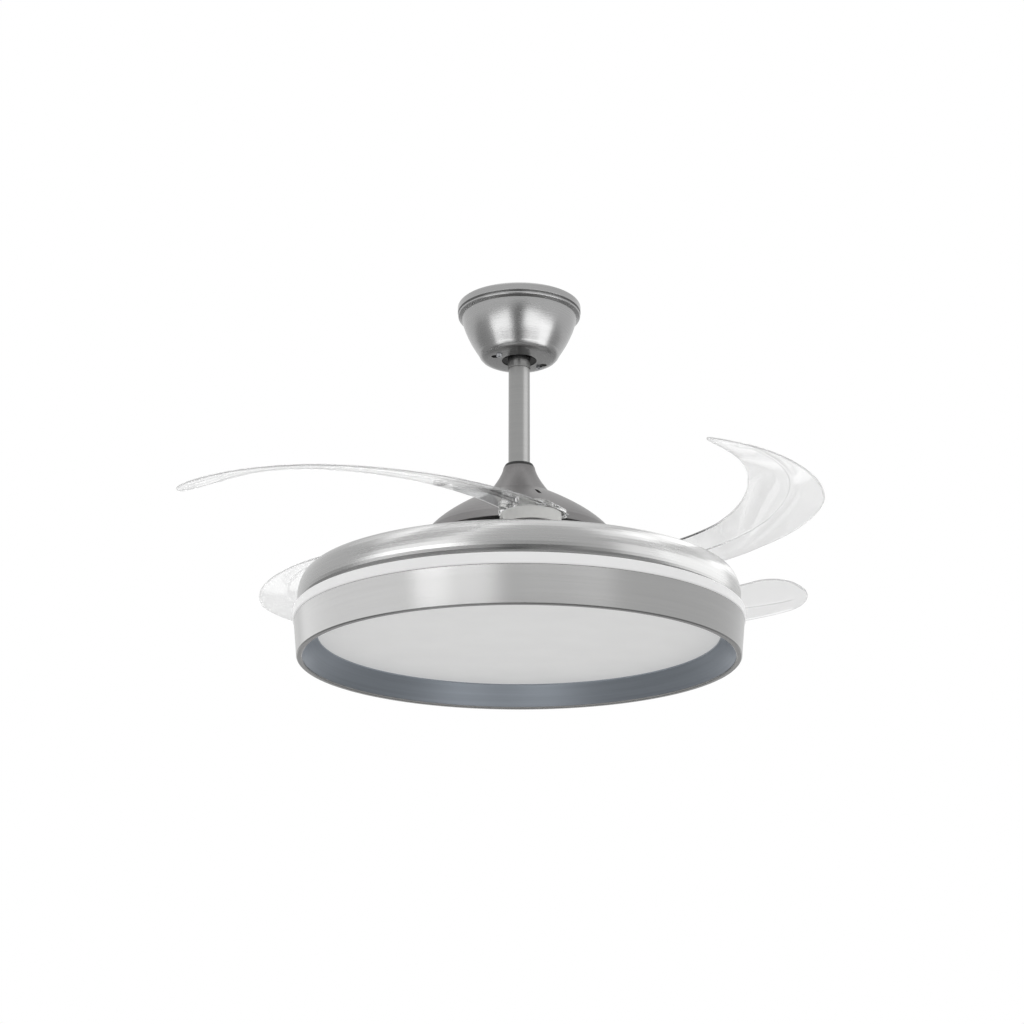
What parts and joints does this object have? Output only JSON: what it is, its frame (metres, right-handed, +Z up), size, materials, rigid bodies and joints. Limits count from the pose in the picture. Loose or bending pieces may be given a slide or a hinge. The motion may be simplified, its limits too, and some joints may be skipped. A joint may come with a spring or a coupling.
{
  "type": "ceiling fan with folding blades",
  "caption": "Ceiling fan on a short downrod with sickle-shaped clear blades that swing out over a round drum light and fold back above it.",
  "frame": {"origin": "middle of the ceiling face of the hanger bracket", "axes": "+Z up, the fan hangs below the origin and turns about Z; +X along the bracket's two screw slots; -Y towards the viewer of the picture"},
  "size_m": [0.7182, 0.7182, 0.434],
  "materials": {
    "black_nylon": "moulded",
    "black_rubber": "matt",
    "cast_aluminium": "die cast",
    "cast_zinc": "as cast",
    "clear_acrylic": "clear polished acrylic",
    "copper_wire": "varnished copper",
    "core_steel": "stacked sheets",
    "cover_grey": "fine-textured warm grey paint",
    "dark_trim": "semi-matt blue grey",
    "magnet_black": "sintered ferrite",
    "milk_acrylic": "opal, satin",
    "satin_metal": "satin nickel plating",
    "spring_steel": "ground and oiled",
    "white_acrylic": "polished",
    "white_board": "white solder mask",
    "white_nylon": "moulded",
    "white_plastic": "moulded",
    "white_sheet": "matt white paint",
    "zinc_steel": "bright zinc plating"
  },
  "bodies": {
    "fixed_frame": {"ceiling_bracket": "zinc_steel", "hanger_ball": "black_nylon", "ball_pin": "zinc_steel", "receiver": "white_plastic", "canopy": "satin_metal", "canopy_screws": "zinc_steel", "rod_collar": "satin_metal", "downrod": "satin_metal", "neck_gasket": "black_rubber", "motor_cover": "cover_grey", "yoke": "cast_zinc", "yoke_pin": "zinc_steel", "yoke_screws": "zinc_steel", "motor_shaft": "spring_steel", "stator_core": "core_steel", "stator_windings": "copper_wire", "pan_flange": "zinc_steel", "shaft_nut": "zinc_steel", "top_pan": "satin_metal", "pan_screws": "zinc_steel", "light_ring": "white_acrylic", "lamp_tray": "white_sheet", "tray_screws": "zinc_steel", "led_board": "white_board", "led_driver": "white_plastic", "lamp_shell": "satin_metal", "shell_posts": "zinc_steel", "trim_ring": "dark_trim", "diffuser": "milk_acrylic"},
    "rotor": {"rotor_lower": "cast_aluminium", "rotor_upper": "cast_aluminium", "magnet_ring": "magnet_black", "lower_bearing": "spring_steel", "upper_bearing": "spring_steel", "rotor_screws": "zinc_steel", "blade_carrier": "cast_aluminium", "pivot_posts": "zinc_steel", "pivot_washers": "zinc_steel", "pivot_screws": "zinc_steel", "return_springs": "spring_steel", "ring_keepers": "zinc_steel", "keeper_screws": "zinc_steel"},
    "toothed_ring": {"sync_ring": "white_nylon"},
    "arm_1": {"blade_1": "clear_acrylic", "hub_1": "white_nylon", "blade_screws_1": "zinc_steel"},
    "arm_2": {"blade_2": "clear_acrylic", "hub_2": "white_nylon", "blade_screws_2": "zinc_steel"},
    "arm_3": {"blade_3": "clear_acrylic", "hub_3": "white_nylon", "blade_screws_3": "zinc_steel"},
    "arm_4": {"blade_4": "clear_acrylic", "hub_4": "white_nylon", "blade_screws_4": "zinc_steel"}
  },
  "joints": [
    {"name": "rotor_spin", "type": "hinge", "parent": "fixed_frame", "child": "rotor", "pos_m": [0, 0, -0.319], "axis": [0, 0, 1], "continuous": true},
    {"name": "ring_turn", "type": "hinge", "parent": "rotor", "child": "toothed_ring", "pos_m": [0, 0, -0.3186], "axis": [0, 0, 1], "range_deg": [-0.25, 12.75]},
    {"name": "blade_1_fold", "type": "hinge", "parent": "rotor", "child": "arm_1", "pos_m": [0.01214, -0.17358, -0.3186], "axis": [0, 0, 1], "range_deg": [-60, 0]},
    {"name": "blade_2_fold", "type": "hinge", "parent": "rotor", "child": "arm_2", "pos_m": [0.17358, 0.01214, -0.3186], "axis": [0, 0, 1], "range_deg": [-60, 0]},
    {"name": "blade_3_fold", "type": "hinge", "parent": "rotor", "child": "arm_3", "pos_m": [-0.01214, 0.17358, -0.3186], "axis": [0, 0, 1], "range_deg": [-60, 0]},
    {"name": "blade_4_fold", "type": "hinge", "parent": "rotor", "child": "arm_4", "pos_m": [-0.17358, -0.01214, -0.3186], "axis": [0, 0, 1], "range_deg": [-60, 0]}
  ],
  "couplings": [
    {"joint": "ring_turn", "follows": "blade_1_fold", "ratio": -0.20833},
    {"joint": "blade_2_fold", "follows": "blade_1_fold", "ratio": 1},
    {"joint": "blade_3_fold", "follows": "blade_1_fold", "ratio": 1},
    {"joint": "blade_4_fold", "follows": "blade_1_fold", "ratio": 1}
  ]
}
